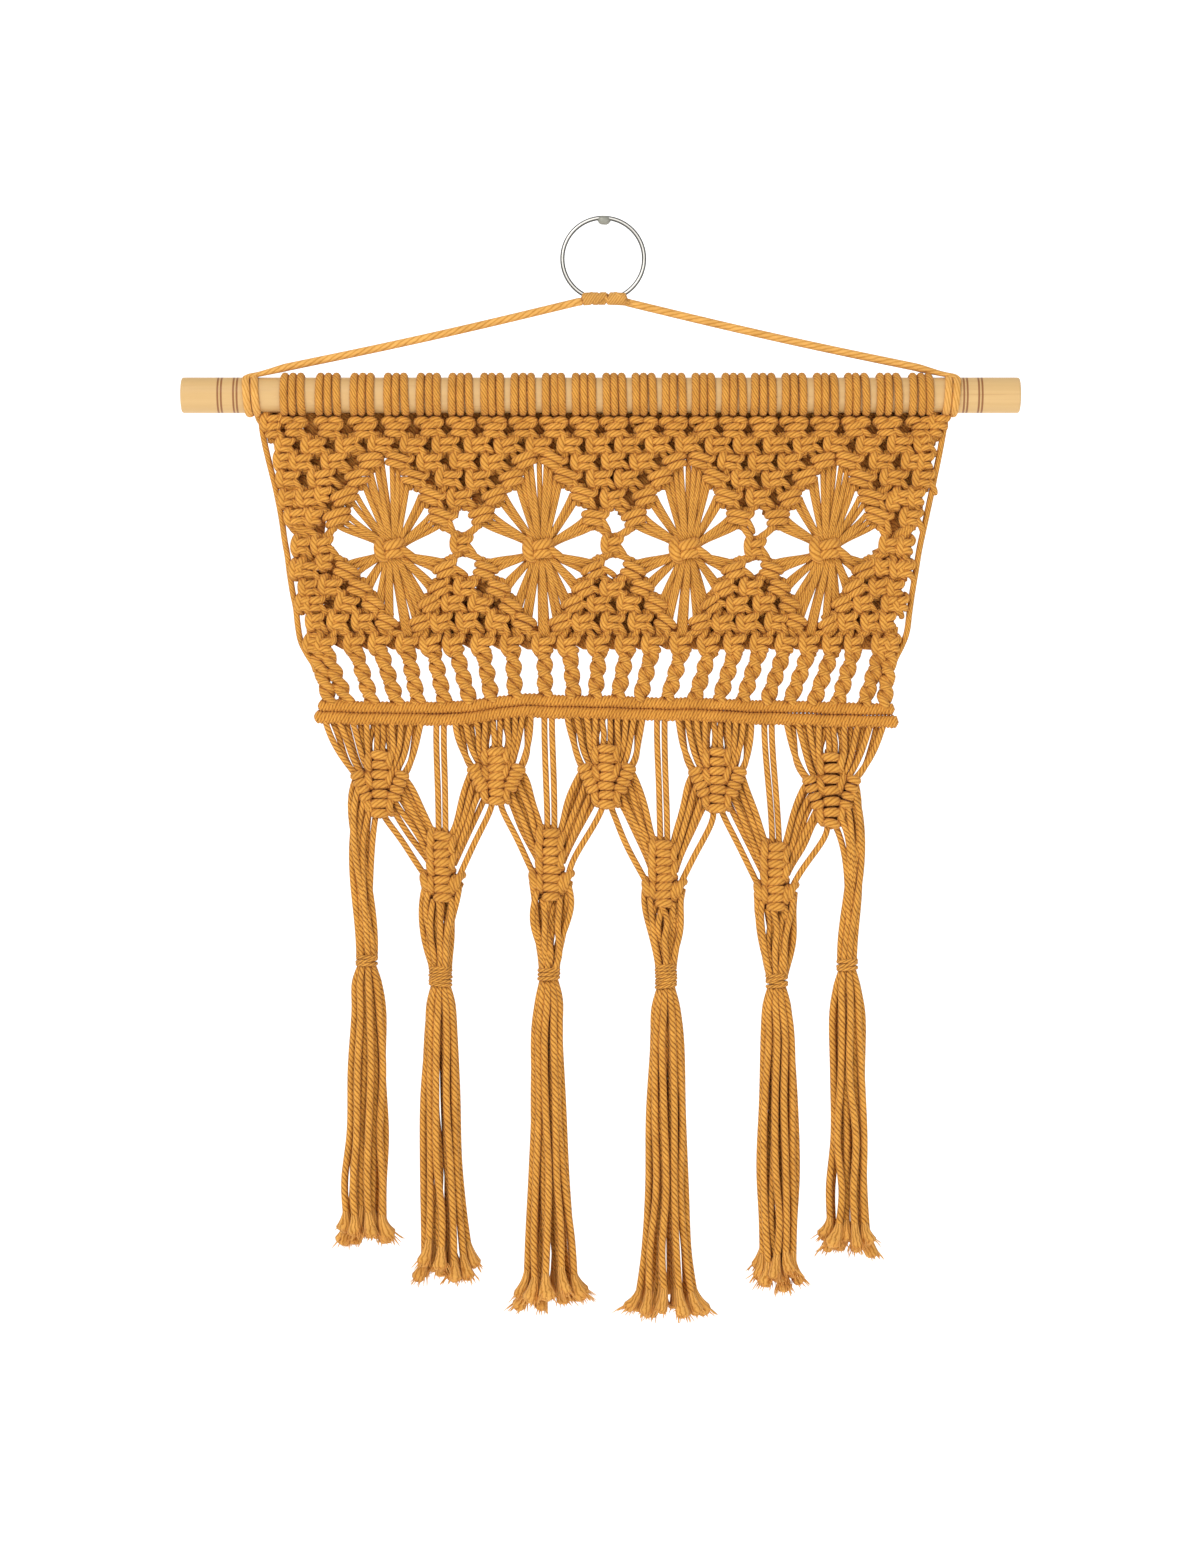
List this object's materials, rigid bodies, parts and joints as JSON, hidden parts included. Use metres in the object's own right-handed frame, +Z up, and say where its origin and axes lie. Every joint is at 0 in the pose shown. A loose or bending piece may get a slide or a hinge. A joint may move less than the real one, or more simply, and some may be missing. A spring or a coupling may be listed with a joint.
{
  "type": "macrame wall hanging with wooden rod and hanging ring",
  "caption": "Knotted cotton wall hanging on a wooden rod, with open diamonds, ribbed bars and long tassels, hung by a cord from a steel ring.",
  "frame": {"origin": "inside top of the ring, where a wall hook holds it", "axes": "+X along the rod to the right as seen from the front, +Y towards the wall, +Z up"},
  "size_m": [0.3894, 0.0256, 0.5146],
  "materials": {
    "cotton": "mustard twisted cotton cord, matt",
    "wood": "pale fine-grained wood, satin",
    "steel": "bright plated steel wire"
  },
  "bodies": {
    "root": {"rod": "wood", "ring": "steel", "hanger_cord": "cotton", "panel": "cotton", "bar_upper": "cotton", "bar_lower": "cotton", "swag": "cotton", "tassel_1": "cotton", "tassel_2": "cotton", "tassel_3": "cotton", "tassel_4": "cotton", "tassel_5": "cotton", "tassel_6": "cotton"}
  },
  "joints": []
}
